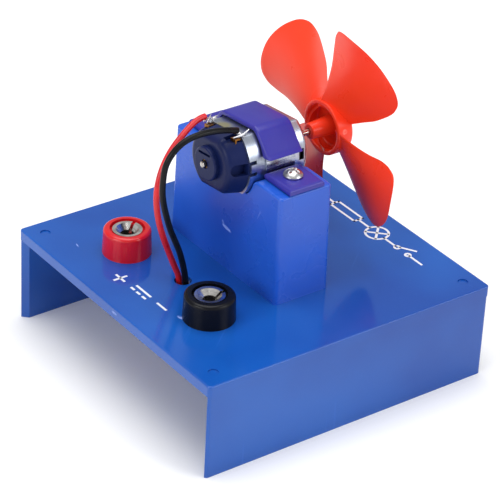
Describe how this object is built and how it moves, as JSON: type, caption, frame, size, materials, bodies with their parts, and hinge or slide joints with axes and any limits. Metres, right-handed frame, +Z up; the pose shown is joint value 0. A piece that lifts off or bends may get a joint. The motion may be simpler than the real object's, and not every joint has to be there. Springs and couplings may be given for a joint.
{
  "type": "demonstration electric motor",
  "caption": "Small open electric motor with a fan on its shaft, clamped on a block on a raised blue stand with two 4 mm sockets and leads for classroom demonstrations.",
  "frame": {"origin": "centre of the stand's footprint, on the surface it stands on", "axes": "+X along the front edge from the red socket to the black one, +Y along the motor's shaft from its end cap to the fan, +Z up"},
  "size_m": [0.1, 0.101, 0.1013],
  "materials": {
    "stand_plastic": "satin moulded blue",
    "tower_plastic": "satin moulded blue",
    "plated_screw": "bright plated",
    "plated_can": "bright plated, lightly brushed",
    "cap_plastic": "satin moulded dark navy",
    "tab_brass": "aged",
    "brush_copper": "rolled",
    "magnet_ferrite": "sintered, matt",
    "spring_steel": "rolled",
    "bush_bronze": "sintered",
    "shaft_steel": "ground",
    "core_steel": "stacked sheet",
    "winding_copper": "enamelled wire",
    "commutator_copper": "turned",
    "commutator_plastic": "moulded",
    "washer_plastic": "moulded",
    "strap_steel": "bright plated",
    "clamp_plastic": "satin moulded indigo",
    "fan_plastic": "glossy moulded orange-red",
    "red_plastic": "glossy moulded red",
    "black_plastic": "glossy moulded black",
    "socket_metal": "bright nickel plate",
    "lug_tin": "tinned",
    "nut_brass": "turned",
    "red_insulation": "soft insulation, low gloss",
    "black_insulation": "soft insulation, low gloss",
    "solder_tin": "tinned strands"
  },
  "bodies": {
    "stand": {"base_stand": "stand_plastic", "motor_tower": "tower_plastic", "tower_screws": "plated_screw", "motor_can": "plated_can", "end_cap": "cap_plastic", "terminal_tabs": "tab_brass", "brush_arms": "brush_copper", "field_magnets": "magnet_ferrite", "magnet_spring": "spring_steel", "rear_bush": "bush_bronze", "end_cap_bush": "bush_bronze", "clamp_strap": "strap_steel", "clamp_hood": "clamp_plastic", "clamp_feet": "clamp_plastic", "clamp_screws": "plated_screw", "red_socket_collar": "red_plastic", "black_socket_collar": "black_plastic", "red_socket_sleeve": "socket_metal", "black_socket_sleeve": "socket_metal", "socket_washers": "socket_metal", "solder_lugs": "lug_tin", "socket_nuts": "nut_brass", "red_lead": "red_insulation", "black_lead": "black_insulation", "tab_joints": "solder_tin", "lug_joints": "solder_tin"},
    "rotor": {"motor_shaft": "shaft_steel", "armature_core": "core_steel", "armature_windings": "winding_copper", "commutator_segments": "commutator_copper", "commutator_sleeve": "commutator_plastic", "thrust_washers": "washer_plastic", "fan": "fan_plastic"}
  },
  "joints": [
    {"name": "rotor_spin", "type": "hinge", "parent": "stand", "child": "rotor", "pos_m": [0, 0, 0.0684], "axis": [0, 1, 0], "continuous": true}
  ]
}
